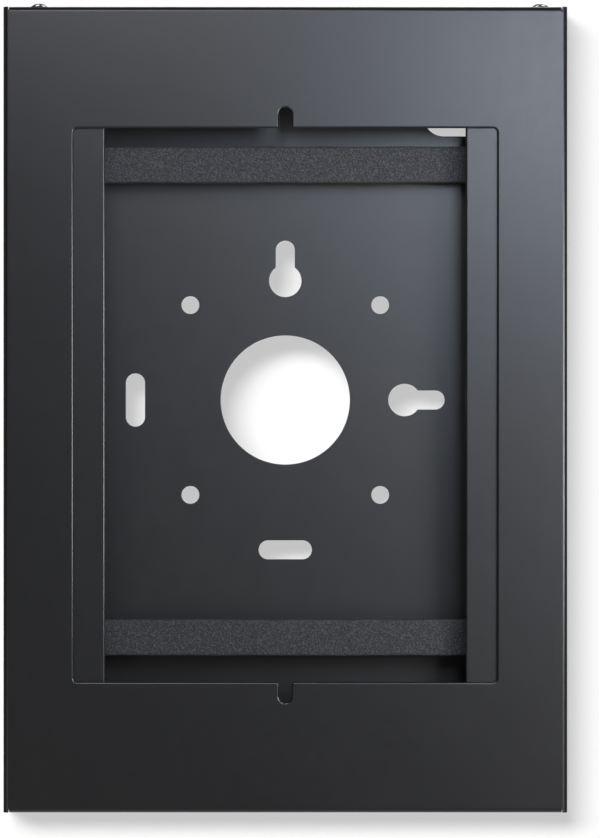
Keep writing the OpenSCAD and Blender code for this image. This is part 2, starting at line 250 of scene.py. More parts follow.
def sheet_surface(outlines, thickness, lines=(None, None)):
    """The closed surface of a punched and folded sheet, with its cut edges rounded.

    outlines are pairs of a path and the radius of its front edge, one number or one for each
    point. A skin fills the front and the back between the edges' roundings. Along every path runs
    a rim: a quarter circle from the front skin to the cut, and another from the cut to the back.
    Returns points, triangles and the exact normal of every point.
    """
    bends = [fold_lines(line) for line in lines]
    rims = []
    for path, front in outlines:
        path = np.column_stack([path, np.broadcast_to(front, len(path))])
        for axis in (0, 1):
            if len(bends[axis]):
                path = crossed(path, path[0, 4], axis, bends[axis])
        rims.append(path)
    flat, depth, lean, out_share, triangles, count = [], [], [], [], [], 0
    for level, facing in ((0.0, 1), (thickness, -1)):
        loops = [path[:, :2] + (path[:, 4:] if facing > 0 else EDGE_SOFT) * path[:, 2:4] for path in rims]
        corners, faces = skin(loops, bends)
        flat.append(corners)
        depth.append(np.full(len(corners), level))
        lean.append(np.zeros((len(corners), 2)))
        out_share.append(np.full(len(corners), facing))
        triangles.append(count + faces[:, ::facing])
        count += len(corners)
    quarter = np.linspace(0, np.pi / 2, ARC_STEPS + 1)
    for path in rims:
        spot, into, front = path[None, :, :2], path[None, :, 2:4], path[None, :, 4]
        angle = np.concatenate([quarter, quarter[::-1]])[:, None]
        ahead = np.repeat([True, False], ARC_STEPS + 1)[:, None]
        soft = np.where(ahead, front, EDGE_SOFT)
        inset = soft * (1 - np.sin(angle))
        sunk = soft * (1 - np.cos(angle))
        level = np.where(ahead, sunk, thickness - sunk)
        flat.append((spot + inset[..., None] * into).reshape(-1, 2))
        depth.append(level.reshape(-1))
        lean.append((-np.sin(angle)[..., None] * into).reshape(-1, 2))
        out_share.append((np.where(ahead, 1, -1) * np.cos(angle) * np.ones_like(front)).reshape(-1))
        triangles.append(count + grid_triangles(len(angle), len(path)))
        count += len(angle) * len(path)
    flat, depth, lean, out_share = [np.concatenate(part) for part in (flat, depth, lean, out_share)]
    place, sideways, upwards, out = fold(flat, depth, lines)
    normals = lean[:, :1] * sideways + lean[:, 1:] * upwards + out_share[:, None] * out
    return place, np.concatenate(triangles), normals


def joined(*surfaces):
    """Several surfaces as one list of points, triangles and normals."""
    starts = np.cumsum([0] + [len(points) for points, _, _ in surfaces])
    return (np.concatenate([points for points, _, _ in surfaces]),
            np.concatenate([triangles + start for (_, triangles, _), start in zip(surfaces, starts)]),
            np.concatenate([normals for _, _, normals in surfaces]))


def area_normals(points, triangles):
    """The mean of the normals of the triangles round each point, weighted by their areas."""
    a, b, c = points[triangles[:, 0]], points[triangles[:, 1]], points[triangles[:, 2]]
    across = np.cross(b - a, c - a)
    total = np.zeros_like(points)
    for corner in range(3):
        np.add.at(total, triangles[:, corner], across)
    return total / np.maximum(np.linalg.norm(total, axis=1, keepdims=True), 1e-12)


def put_piece(name, surface, material, slot, *nodes):
    """Makes a surface in millimetres a piece of the mount that stands for the CAD nodes.

    Points at one place become one, triangles without area go, and a surface that came out with a
    negative volume is turned the right way round. Every point keeps its own normal.
    """
    points, triangles, normals = surface
    _, first, joint = np.unique(points.round(6), axis=0, return_index=True, return_inverse=True)
    triangles = joint.reshape(-1)[triangles]
    points = points[first]
    a, b, c = triangles.T
    triangles = triangles[(a != b) & (b != c) & (c != a)]
    a, b, c = [points[triangles[:, corner]] for corner in range(3)]
    if (np.cross(a, b) * c).sum() < 0:
        triangles = triangles[:, ::-1]
    normals = area_normals(points, triangles) if normals is None else normals[first]
    mesh = bpy.data.meshes.new(name)
    mesh.from_pydata((points * MM).tolist(), [], triangles.tolist())
    mesh.shade_smooth()
    mesh.normals_split_custom_set_from_vertices(normals.tolist())
    mesh.materials.append(material)
    piece = bpy.data.objects.new(name, mesh)
    scene.collection.objects.link(piece)
    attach(piece, "root")
    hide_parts(*nodes)
    return piece


class Finish:
    """A node material in the making: nodes that feed its one principled shader."""

    def __init__(self, name, colour, metallic=0.0, roughness=0.5, specular=0.5):
        self.material = bpy.data.materials.new(name)
        self.material.use_nodes = True
        self.nodes, self.links = self.material.node_tree.nodes, self.material.node_tree.links
        self.shader = self.nodes["Principled BSDF"]
        for socket, value in (("Base Color", (*colour, 1)), ("Metallic", metallic),
                              ("Roughness", roughness), ("Specular IOR Level", specular)):
            self.shader.inputs[socket].default_value = value
        self.place = self.nodes.new("ShaderNodeTexCoord").outputs["Object"]
        self.relief = None

    def noise(self, per_metre, detail=2.0, stretch=(1, 1, 1)):
        """Cloudy noise with about per_metre features in a metre, times stretch along each axis."""
        mapping = self.nodes.new("ShaderNodeMapping")
        mapping.inputs["Scale"].default_value = [per_metre * share for share in stretch]
        texture = self.nodes.new("ShaderNodeTexNoise")
        texture.inputs["Scale"].default_value = 1
        texture.inputs["Detail"].default_value = detail
        self.links.new(self.place, mapping.inputs["Vector"])
        self.links.new(mapping.outputs["Vector"], texture.inputs["Vector"])
        return texture.outputs["Fac"]

    def cells(self, per_metre):
        """Distance from the middle of the nearest of about per_metre cells in a metre."""
        texture = self.nodes.new("ShaderNodeTexVoronoi")
        texture.inputs["Scale"].default_value = per_metre
        self.links.new(self.place, texture.inputs["Vector"])
        return texture.outputs["Distance"]

    def spread(self, value, low, high, start=0.3, end=0.7):
        """Stretches the part of value between start and end to low to high."""
        node = self.nodes.new("ShaderNodeMapRange")
        for socket, number in (("From Min", start), ("From Max", end), ("To Min", low), ("To Max", high)):
            node.inputs[socket].default_value = number
        self.links.new(value, node.inputs["Value"])
        return node.outputs["Result"]

    def sum(self, first, second):
        node = self.nodes.new("ShaderNodeMath")
        node.operation = "ADD"
        self.links.new(first, node.inputs[0])
        self.links.new(second, node.inputs[1])
        return node.outputs[0]

    def flatness(self):
        """The largest part of the surface's normal along an axis: 1 on flat sides, less on roundings."""
        size = self.nodes.new("ShaderNodeVectorMath")
        size.operation = "ABSOLUTE"
        self.links.new(self.nodes.new("ShaderNodeNewGeometry").outputs["Normal"], size.inputs[0])
        parts = self.nodes.new("ShaderNodeSeparateXYZ")
        self.links.new(size.outputs[0], parts.inputs[0])
        largest = parts.outputs[0]
        for part in parts.outputs[1:]:
            node = self.nodes.new("ShaderNodeMath")
            node.operation = "MAXIMUM"
            self.links.new(largest, node.inputs[0])
            self.links.new(part, node.inputs[1])
            largest = node.outputs[0]
        return largest

    def between(self, share, first, second):
        """A colour that goes from first to second with share."""
        node = self.nodes.new("ShaderNodeMix")
        node.data_type = "RGBA"
        node.inputs[6].default_value = (*first, 1)
        node.inputs[7].default_value = (*second, 1)
        self.links.new(share, node.inputs[0])
        return node.outputs[2]

    def feed(self, socket, value):
        self.links.new(value, self.shader.inputs[socket])

    def emboss(self, height, depth):
        """Adds relief of the given depth in metres to the relief so far."""
        node = self.nodes.new("ShaderNodeBump")
        node.inputs["Strength"].default_value = 1.0
        node.inputs["Distance"].default_value = depth
        self.links.new(height, node.inputs["Height"])
        if self.relief:
            self.links.new(self.relief, node.inputs["Normal"])
        self.relief = node.outputs["Normal"]
        self.feed("Normal", self.relief)


def powder_coat(name, dark, light, roughness, gloss):
    """Satin powder coat: a nearly black body with faint clouds, over the soft relief of baked paint.

    On the roundings of edges and bends the paint flows out thinner and shines more.
    """
    coat = Finish(name, dark, roughness=roughness, specular=gloss)
    coat.feed("Base Color", coat.between(coat.spread(coat.noise(60, 3), 0, 1), dark, light))
    flatness = coat.flatness()
    uneven = coat.spread(coat.noise(220, 3), -0.012, 0.012)
    coat.feed("Roughness", coat.sum(coat.spread(flatness, EDGE_SHINE * roughness, roughness, 0.90, 0.99), uneven))
    coat.emboss(coat.noise(700, 2), 0.000005)
    coat.emboss(coat.noise(4200, 1), 0.0000012)
    return coat.material


def flange_reach(depth):
    """How far a blank goes on past a fold line to reach back to the given depth."""
    return depth - FOLD_R + FOLD_R * math.pi / 2


plate_lines = (PLATE_W / 2 - FOLD_R, PLATE_H / 2 - FOLD_R)
plate_openings = [round_hole(sx * PATTERN_PITCH / 2, sz * PATTERN_PITCH / 2, PATTERN_HOLE_D)
                  for sx in (-1, 1) for sz in (-1, 1)]
plate_openings.append(round_hole(0, 0, CABLE_HOLE_D))
slot_outline = oblong(SLOT_REACH - SLOT_W / 2, SLOT_REACH + SLOT_W / 2, -SLOT_L / 2, SLOT_L / 2, SLOT_W / 2)
plate_openings += [turned(slot_outline, angle) for angle in (180, 270)]
plate_openings += [turned(keyhole(), angle) for angle in (0, 90)]
plate_openings.append(oblong(CAMERA_LEFT, CAMERA_RIGHT, CAMERA_MID_Z - CAMERA_H / 2,
                             CAMERA_MID_Z + CAMERA_H / 2, CAMERA_H / 2))
for opening in plate_openings:
    opening[:, 1] -= PLATE_MID_Z
plate_foot_v = [-plate_lines[1] - flange_reach(-y) for y in (TONGUE_SLOT_FRONT, TONGUE_SLOT_REAR)]
plate_openings += [oblong(side * TONGUE_X - TONGUE_SLOT_W / 2, side * TONGUE_X + TONGUE_SLOT_W / 2,
                          *plate_foot_v, 0.3) for side in (-1, 1)]
plate_openings += [round_hole(x, plate_lines[1] + flange_reach(-SCREW_Y), PRESS_SHANK_D) for x in SCREW_XS]
plate_border = folded_border(*plate_lines, flange_reach(PLATE_FLANGE_D))
place, triangles, normals = sheet_surface([(path, EDGE_SOFT) for path in [plate_border] + plate_openings],
                                          SHEET_T, plate_lines)
plate_coat = powder_coat("wall_plate_coat", (0.0068, 0.0068, 0.0071), (0.0080, 0.0080, 0.0084), 0.42, 0.98)
wall_plate = put_piece("wall_plate", (place * [1, -1, 1] + [0, 0, PLATE_MID_Z], triangles, normals * [1, -1, 1]),
                       plate_coat, "coated_steel", "back_plate")


# Press-in nuts. Round steel nuts with a threaded bore, zinc plated, pressed from below into the
# wall plate's top flange, where their shank fills the hole. They take the two cover screws.
PRESS_D, PRESS_H, SCREW_D, THREAD_PLAY, PRESS_TEETH = 8.0, 2.0, 4.0, 0.05, 36
PLATE_TOP = PLATE_MID_Z + PLATE_H / 2
COLUMNS = 72
angles = np.linspace(0, 2 * np.pi, COLUMNS, endpoint=False)


def lathe(radius, height):
    """Points on rings: radius and height are arrays of rings by angles, height along +z."""
    radius, height = np.broadcast_arrays(radius, height)
    return np.stack([radius * np.cos(angles), radius * np.sin(angles), height], axis=-1)


def zinc_plate(name, colour):
    """Bright zinc on steel: mirror-like but hazy, with the grain of the wire and small stains."""
    zinc = Finish(name, colour, metallic=1.0, roughness=0.3)
    zinc.feed("Base Color", zinc.between(zinc.spread(zinc.noise(900, 3), 0, 1), colour, [0.8 * c for c in colour]))
    zinc.feed("Roughness", zinc.spread(zinc.noise(2600, 3), 0.2, 0.42))
    zinc.emboss(zinc.noise(6000, 2), 0.000004)
    return zinc.material


press_profile = rounded([(SCREW_D / 2 + THREAD_PLAY, -SHEET_T - PRESS_H), (PRESS_D / 2, -SHEET_T - PRESS_H),
                         (PRESS_D / 2, -SHEET_T), (PRESS_SHANK_D / 2, -SHEET_T), (PRESS_SHANK_D / 2, 0),
                         (SCREW_D / 2 + THREAD_PLAY, 0)], [0.25, 0.3, 0.15, 0.05, 0.1, 0.25])[:, :2]
knurl = 1 - 0.012 * (np.abs(np.sin(PRESS_TEETH / 2 * angles)))[None, :] * (press_profile[:, :1] > 3.6)
press_points = lathe(press_profile[:, :1] * knurl, press_profile[:, 1:])
press_faces = grid_triangles(len(press_profile), COLUMNS, wrap_rows=True)
bright_zinc = zinc_plate("press_nut_zinc", (0.62, 0.63, 0.65))
for name, x in zip(("left", "right"), SCREW_XS):
    put_piece("press_nut_" + name, (press_points.reshape(-1, 3) + [x, SCREW_Y, PLATE_TOP], press_faces, None),
              bright_zinc, "bare_steel", "cover_nut_" + name)


# Foam strips. Two cushions cut from a sheet of soft open-cell foam, with an adhesive back, laid
# by hand across the wall plate. They press the tablet forwards against the rails.
FOAM_L, FOAM_H, FOAM_T = 190.0, 14.5, 10.0
FOAM_TOP_Z, FOAM_BOTTOM_Z = 92.5, -93.5
FOAM_ROWS, FOAM_COLUMNS, FOAM_CAP_ROWS = 420, 104, 12
FOAM_EDGE_R, FOAM_WAVE, FOAM_PIT, FOAM_CELL = 0.9, 0.32, 0.16, 0.95


def lattice_noise(points, cell, seed):
    """Smooth noise from -1 to 1: random values on a cubic lattice, blended with 3t^2 - 2t^3."""
    values = np.random.default_rng(seed).uniform(-1, 1, (64, 64, 64))
    spot = points / cell
    low = np.floor(spot).astype(int)
    share = spot - low
    share = share * share * (3 - 2 * share)
    total = np.zeros(len(points))
    for corner in np.ndindex(2, 2, 2):
        weight = np.prod(np.where(corner, share, 1 - share), axis=1)
        total += weight * values[tuple(((low + corner) % 64).T)]
    return total


def pits(points, cell, seed):
    """Round pits, 1 at their middle and 0 from half a cell on: one in each cell of a lattice, off its middle."""
    jitter = np.random.default_rng(seed).uniform(0, 1, (64, 64, 64, 3))
    spot = points / cell
    low = np.floor(spot).astype(int)
    nearest = np.full(len(points), 9.0)
    for step in np.ndindex(3, 3, 3):
        here = low + np.array(step) - 1
        middle = here + jitter[tuple((here % 64).T)]
        nearest = np.minimum(nearest, ((spot - middle) ** 2).sum(axis=1))
    return np.clip(1 - np.sqrt(nearest) / 0.55, 0, 1)


def foam_strip(mid_z, seed):
    """A rounded rectangle carried along x, closed at both ends by ever smaller copies of itself.

    Its sides wander by a slow noise along x, and every point sinks inwards by the foam's pits.
    """
    half_t, half_h = FOAM_T / 2, FOAM_H / 2
    ring = rounded([(-half_t, -half_h), (half_t, -half_h), (half_t, half_h), (-half_t, half_h)],
                   [FOAM_EDGE_R, 0.4, 0.4, FOAM_EDGE_R])[:, :2]
    way = np.concatenate([[0], np.cumsum(np.linalg.norm(np.diff(ring, axis=0, append=ring[:1]), axis=1))])
    spots = np.linspace(0, way[-1], FOAM_COLUMNS, endpoint=False)
    ring = np.column_stack([np.interp(spots, way, np.append(ring[:, i], ring[0, i])) for i in (0, 1)])
    turn = np.linspace(0, np.pi / 2, 5)
    end_x = np.concatenate([np.zeros(FOAM_CAP_ROWS), FOAM_EDGE_R * (1 - np.cos(turn[1:]))])
    end_size = np.concatenate([np.linspace(0, 1 - 0.12, FOAM_CAP_ROWS), 1 - 0.12 * (1 - np.sin(turn[1:]))])
    run = np.linspace(FOAM_EDGE_R, FOAM_L - FOAM_EDGE_R, FOAM_ROWS)[1:-1]
    x = np.concatenate([end_x, run, FOAM_L - end_x[::-1]]) - FOAM_L / 2
    size = np.concatenate([end_size, np.ones(len(run)), end_size[::-1]])
    points = np.empty((len(x), FOAM_COLUMNS, 3))
    points[..., 0] = x[:, None]
    points[..., 1:] = ring[None] * size[:, None, None]
    flat = points.reshape(-1, 3)
    upper = flat[:, 2] > 0
    line = np.column_stack([flat[:, 0], np.where(upper, 40.0, 90.0), np.full(len(flat), seed)])
    wander = 0.6 * lattice_noise(line, 27.0, seed) + 0.4 * lattice_noise(line, 8.0, seed + 1)
    flat[:, 2] += FOAM_WAVE * (wander * np.abs(flat[:, 2]) - 0.5 * flat[:, 2]) / half_h
    faces = grid_triangles(len(x), FOAM_COLUMNS)
    out = area_normals(flat, faces)
    if (out * flat).sum() < 0:
        out = -out
    out[:FOAM_COLUMNS], out[-FOAM_COLUMNS:] = [-1, 0, 0], [1, 0, 0]
    front = np.clip((half_t - flat[:, 1]) / 1.0, 0, 1)
    rough = 0.75 * pits(flat + 100, FOAM_CELL, seed + 2) + 0.25 * pits(flat + 100, 2.1, seed + 3)
    flat -= out * (FOAM_PIT * rough * front)[:, None]
    return flat + [0, -SHEET_T - half_t, mid_z], faces, None


foam = Finish("open_cell_foam", (0.05, 0.05, 0.053), roughness=0.95, specular=0.25)
foam_grain = foam.spread(foam.cells(1900), 0, 1, 0.15, 0.75)
foam.feed("Base Color", foam.between(foam_grain, (0.017, 0.017, 0.018), (0.077, 0.077, 0.081)))
foam.emboss(foam.noise(2600, 3), 0.00012)
for name, z, seed in (("top", FOAM_TOP_Z, 3), ("bottom", FOAM_BOTTOM_Z, 11)):
    strip = put_piece("foam_cushion_" + name, foam_strip(z, seed), foam.material, "foam", "foam_strip_" + name)


# Cover. One blank of 1.5 mm steel with a window for the display, its edges rounded, folded back on
# four sides and powder coated anthracite. Two tongues lanced out of the bottom flange hook into
# the wall plate, and two holes in the top flange take the screws.
COVER_W, COVER_H, COVER_D, COVER_MID_Z, WALL_GAP = 220.5, 315.0, 22.0, -3.8, 0.5
WINDOW_HALF_W, WINDOW_TOP, WINDOW_FOOT, WINDOW_R, WINDOW_EDGE_R = 82.8, 106.2, -110.3, 1.6, 0.85
NOTCH_W, NOTCH_DEPTH, NOTCH_MOUTH_R = 5.0, 8.0, 1.0
SCREW_HOLE_D = 4.5
TONGUE_W, TONGUE_ROOT_Y, TONGUE_TIP_Z, LANCE_W, LANCE_L = 14.0, -5.5, -153.5, 1.0, 7.8
TONGUE_BURIED, TONGUE_SUNK = 0.5, 0.02

cover_lines = (COVER_W / 2 - FOLD_R, COVER_H / 2 - FOLD_R)
cover_foot_z = COVER_MID_Z - COVER_H / 2
low, high = WINDOW_FOOT - COVER_MID_Z, WINDOW_TOP - COVER_MID_Z
notch = [(NOTCH_W / 2, high, NOTCH_MOUTH_R), (NOTCH_W / 2, high + NOTCH_DEPTH, NOTCH_W / 2),
         (-NOTCH_W / 2, high + NOTCH_DEPTH, NOTCH_W / 2), (-NOTCH_W / 2, high, NOTCH_MOUTH_R)]
half_window = [(WINDOW_HALF_W, high, WINDOW_R)] + notch + [(-WINDOW_HALF_W, high, WINDOW_R)]
window = half_window + [(-x, low + high - z, r) for x, z, r in half_window]
window_path = rounded([corner[:2] for corner in window], [corner[2] for corner in window])
cover_outlines = [(folded_border(*cover_lines, flange_reach(COVER_D - WALL_GAP)), EDGE_SOFT),
                  (window_path, WINDOW_EDGE_R)]
for x in SCREW_XS:
    cover_outlines.append((round_hole(x, cover_lines[1] + flange_reach(COVER_D + SCREW_Y), SCREW_HOLE_D), EDGE_SOFT))
lance_v = [-cover_lines[1] - flange_reach(COVER_D + y) for y in (TONGUE_ROOT_Y, TONGUE_ROOT_Y - LANCE_L)]
for side in (-1, 1):
    cover_outlines.append((oblong(side * TONGUE_X - TONGUE_W / 2 - LANCE_W, side * TONGUE_X + TONGUE_W / 2 + LANCE_W,
                                  *lance_v, 0.4), EDGE_SOFT))
cover_points, cover_faces, cover_normals = sheet_surface(cover_outlines, SHEET_T, cover_lines)

root_y, outer_y = TONGUE_ROOT_Y + TONGUE_BURIED, TONGUE_ROOT_Y - FOLD_R
tongue_corners = [(outer_y, cover_foot_z, FOLD_R), (outer_y, TONGUE_TIP_Z, 0.5), (outer_y + SHEET_T, TONGUE_TIP_Z, 0.5),
                  (outer_y + SHEET_T, cover_foot_z + SHEET_T, FOLD_R - SHEET_T),
                  (root_y, cover_foot_z + SHEET_T - TONGUE_SUNK, 0.25), (root_y, cover_foot_z + TONGUE_SUNK, 0.25)]
tongue_section = rounded([corner[:2] for corner in tongue_corners], [corner[2] for corner in tongue_corners])
tongue_points, tongue_faces, tongue_normals = sheet_surface([(tongue_section, EDGE_SOFT)], TONGUE_W)
tongues = [(tongue_points[:, [1, 0, 2]] + [side * TONGUE_X - TONGUE_W / 2, 0, 0], tongue_faces[:, ::-1],
            tongue_normals[:, [1, 0, 2]]) for side in (-1, 1)]
cover_coat = powder_coat("cover_coat", (0.0085, 0.0085, 0.0089), (0.0098, 0.0098, 0.0103), 0.40, 0.79)
put_piece("cover", joined((cover_points + [0, -COVER_D, COVER_MID_Z], cover_faces, cover_normals), *tongues),
          cover_coat, "coated_steel", "front_cover")


# Weld studs. Threaded steel pins with a wider foot, welded to the rear of the cover's sheet before
# it is coated, three on each side. They hold the rails.
STUD_X, STUD_ROWS = 91.0, {"top": 109.95, "middle": -2.05, "bottom": -114.05}
STUD_D, STUD_L, STUD_FOOT_D, STUD_FOOT_T, STUD_PITCH = 3.0, 6.0, 4.5, 0.8, 0.5
COVER_BACK_Y = -COVER_D + SHEET_T


def thread(radius, height, pitch, depth, low, high):
    """Lets a radius follow a screw thread between two heights, as a triangle wave that climbs with the angle."""
    wave = np.abs((height / pitch - angles[None, :] / (2 * np.pi)) % 1 * 2 - 1)
    inside = np.clip(np.minimum(height - low, high - height) / pitch, 0, 1)
    return radius - depth * wave * inside


def filled(path, spacing):
    """Adds points to an open profile until none are further apart than the spacing."""
    step = np.linalg.norm(np.diff(path, axis=0), axis=1)
    way = np.concatenate([[0], np.cumsum(step)])
    spots = np.unique(np.concatenate([way] + [np.linspace(way[i], way[i + 1], int(step[i] / spacing) + 2)
                                              for i in range(len(step))]))
    return np.column_stack([np.interp(spots, way, path[:, i]) for i in (0, 1)])


stud_profile = rounded([(0, 0), (STUD_FOOT_D / 2, 0), (STUD_FOOT_D / 2, STUD_FOOT_T), (STUD_D / 2, STUD_FOOT_T),
                        (STUD_D / 2, STUD_L), (0, STUD_L)], [0, 0.05, 0.15, 0.15, 0.4, 0])[:, :2]
stud_profile = filled(stud_profile, STUD_PITCH / 6)
stud_height = stud_profile[:, 1:]
stud_radius = np.where(stud_profile[:, :1] > STUD_D / 2 - 0.02,
                       thread(stud_profile[:, :1], stud_height, STUD_PITCH, 0.28, STUD_FOOT_T + 0.3, STUD_L - 0.4),
                       stud_profile[:, :1])
stud_points = lathe(stud_radius, stud_height)
stud_faces = grid_triangles(len(stud_profile), COLUMNS)
stud_steel = zinc_plate("stud_zinc", (0.55, 0.56, 0.58))
for side, way in (("left", -1), ("right", 1)):
    for row, z in STUD_ROWS.items():
        standing = stud_points.reshape(-1, 3)[:, [0, 2, 1]]
        put_piece("weld_stud_{}_{}".format(side, row), (standing + [way * STUD_X, COVER_BACK_Y, z], stud_faces, None),
                  stud_steel, "bare_steel", "stud_{}_{}".format(side, row))


# Rails. Two flat strips of the same coated sheet behind the window's sides, with round corners and
# the edge that faces the tablet rounded. Each slips over three studs.
RAIL_NEAR, RAIL_FAR, RAIL_HALF_L, RAIL_MID_Z, RAIL_R = 70.5, 97.5, 130.0, -2.05, 3.0
RAIL_EDGE_R, RAIL_HOLE_D = 0.85, 5.1

rail_coat = powder_coat("rail_coat", (0.0072, 0.0073, 0.0074), (0.0084, 0.0086, 0.0087), 0.41, 0.88)
rail_border = oblong(-RAIL_FAR, -RAIL_NEAR, -RAIL_HALF_L, RAIL_HALF_L, RAIL_R)[::-1] * [1, 1, -1, -1]
facing_in = np.clip(-rail_border[:, 2], 0, 1) ** 2
rail_outlines = [(rail_border, EDGE_SOFT + (RAIL_EDGE_R - EDGE_SOFT) * facing_in)]
rail_outlines += [(round_hole(-STUD_X, z - RAIL_MID_Z, RAIL_HOLE_D), EDGE_SOFT) for z in STUD_ROWS.values()]
rail_points, rail_faces, rail_normals = sheet_surface(rail_outlines, SHEET_T)
for name, way in (("left", 1), ("right", -1)):
    put_piece("rail_strip_" + name, (rail_points * [way, 1, 1] + [0, COVER_BACK_Y, RAIL_MID_Z], rail_faces,
                                     rail_normals * [way, 1, 1]), rail_coat, "coated_steel", "rail_" + name)


# Rail nuts. Zinc-plated flange nuts, one on each stud, that clamp the rails to the cover.
NUT_FLATS, NUT_H, NUT_FLANGE_D, NUT_FLANGE_T = 5.5, 3.2, 8.0, 0.8
nut_bore = STUD_D / 2 + THREAD_PLAY
nut_corner = NUT_FLATS / 2 / math.cos(math.pi / 6)
nut_profile = rounded([(nut_bore, 0), (NUT_FLANGE_D / 2, 0), (NUT_FLANGE_D / 2, NUT_FLANGE_T * 0.7),
                       (nut_corner, NUT_FLANGE_T), (nut_corner, NUT_H), (nut_bore, NUT_H)],
                      [0.2, 0.15, 0.2, 0.15, 0.1, 0.3])[:, :2]
nut_profile = filled(nut_profile, 0.25)
hexagon = NUT_FLATS / 2 / np.cos((angles + np.pi / 6) % (np.pi / 3) - np.pi / 6)
nut_radius, nut_height = nut_profile[:, :1], nut_profile[:, 1:]
on_flats = (nut_height > NUT_FLANGE_T * 0.9) & (nut_radius > nut_bore + 0.4)
chamfer = nut_corner + 0.15 - np.maximum(nut_height - (NUT_H - 0.45), 0)
nut_radius = np.where(on_flats, np.minimum(np.minimum(nut_radius, hexagon[None, :]), chamfer), nut_radius)
nut_points = lathe(nut_radius, nut_height)
nut_faces = grid_triangles(len(nut_profile), COLUMNS, wrap_rows=True)
nut_zinc = zinc_plate("rail_nut_zinc", (0.64, 0.65, 0.67))
for side, way in (("left", -1), ("right", 1)):
    for row, z in STUD_ROWS.items():
        standing = nut_points.reshape(-1, 3)[:, [0, 2, 1]] + [way * STUD_X, COVER_BACK_Y + SHEET_T, z]
        put_piece("flange_nut_{}_{}".format(side, row), (standing, nut_faces, None),
                  nut_zinc, "bare_steel", "rail_nut_{}_{}".format(side, row))


# Cover screws. Black, glossy dome-headed machine screws with a six-sided recess and a pin in it
# against tampering. They go down through the cover's top flange into the press-in nuts.
HEAD_D, HEAD_H, HEAD_RIM_H, SCREW_L, SCREW_PITCH = 8.0, 2.3, 0.3, 8.0, 0.7
RECESS_FLATS, RECESS_DEPTH, PIN_D = 2.5, 1.3, 1.0
COVER_TOP = COVER_MID_Z + COVER_H / 2

dome_rise = HEAD_H - HEAD_RIM_H
dome_r = ((HEAD_D / 2) ** 2 + dome_rise ** 2) / (2 * dome_rise)
recess_r = RECESS_FLATS / 2 / math.cos(math.pi / 6)
dome_across = np.linspace(recess_r + 0.25, HEAD_D / 2 - 0.05, 18)
dome = np.column_stack([dome_across, HEAD_H - dome_r + np.sqrt(dome_r ** 2 - dome_across ** 2)])
floor_z = HEAD_H - RECESS_DEPTH
inner = rounded([(0, HEAD_H - 0.35), (PIN_D / 2, HEAD_H - 0.35), (PIN_D / 2, floor_z), (recess_r, floor_z),
                 tuple(dome[0] - [0.25, -0.02]), tuple(dome[0]), (0, HEAD_H + 3)],
                [0, 0.12, 0.05, 0.08, 0.12, 0, 0])[:-2, :2]
outer = rounded([tuple(dome[-1]), (HEAD_D / 2, HEAD_RIM_H), (HEAD_D / 2, 0), (SCREW_D / 2, 0), (SCREW_D / 2, -SCREW_L),
                 (0, -SCREW_L), (0, HEAD_H)], [0, 0.08, 0.12, 0.12, 0.5, 0, 0])[:, :2]
outer = outer[outer[:, 1] < HEAD_H - 0.01]
screw_profile = np.vstack([inner, dome[:-1], filled(outer, SCREW_PITCH / 6)])
screw_height = screw_profile[:, 1:]
hex_share = np.interp(screw_profile[:, :1], [PIN_D / 2 + 0.1, recess_r - 0.1, recess_r + 0.12, recess_r + 0.7], [0, 1, 1, 0])
hex_share *= screw_height > floor_z - 0.1
recess_shape = RECESS_FLATS / 2 / np.cos((angles + np.pi / 6) % (np.pi / 3) - np.pi / 6) / recess_r
screw_radius = screw_profile[:, :1] * (1 + hex_share * (recess_shape[None, :] - 1))
screw_radius = np.where(screw_height < -0.1, thread(screw_radius, screw_height, SCREW_PITCH, 0.38, -SCREW_L + 0.4, -0.3),
                        screw_radius)
screw_points = lathe(screw_radius, screw_height)
screw_faces = grid_triangles(len(screw_profile), COLUMNS)
black = Finish("black_screw", (0.012, 0.012, 0.0125), roughness=0.16, specular=0.6)
black.feed("Roughness", black.spread(black.noise(1800, 2), 0.12, 0.22))
black.feed("Base Color", black.between(black.noise(700, 2), (0.009, 0.009, 0.0095), (0.016, 0.016, 0.0165)))
black.emboss(black.noise(1500, 2), 0.000004)
screws = bpy.data.collections.new("screws")
for name, x in zip(("left", "right"), SCREW_XS):
    screw = put_piece("dome_screw_" + name, (screw_points.reshape(-1, 3) + [x, SCREW_Y, COVER_TOP], screw_faces, None),
                      black.material, "black_screw", "cover_screw_" + name)
    screws.objects.link(screw)


# Wall and floor. Plain white sheets that only the camera sees, and only from the side of the
# mount, so they take its shadow and hide it from no side. The wall has a shallow niche behind the
# mount, which the holes look into. Most of the white is a glow, which keeps the shadow light.
WALL_Y, NICHE_Y, NICHE_HALF_W, NICHE_HALF_H, NICHE_LAP = 0.0015, 0.018, 0.1, 0.145, 0.03
STAGE_HALF, FLOOR_Z = 2.5, -0.62
STAGE_GLOW, STAGE_WHITE = 0.52, 0.45


def upright(y, half_w, half_h):
    """The corners of a rectangle in a plane parallel to the wall, about the middle of the mount."""
    mid_z = PLATE_MID_Z * MM
    return [(-half_w, y, mid_z - half_h), (half_w, y, mid_z - half_h),
            (half_w, y, mid_z + half_h), (-half_w, y, mid_z + half_h)]


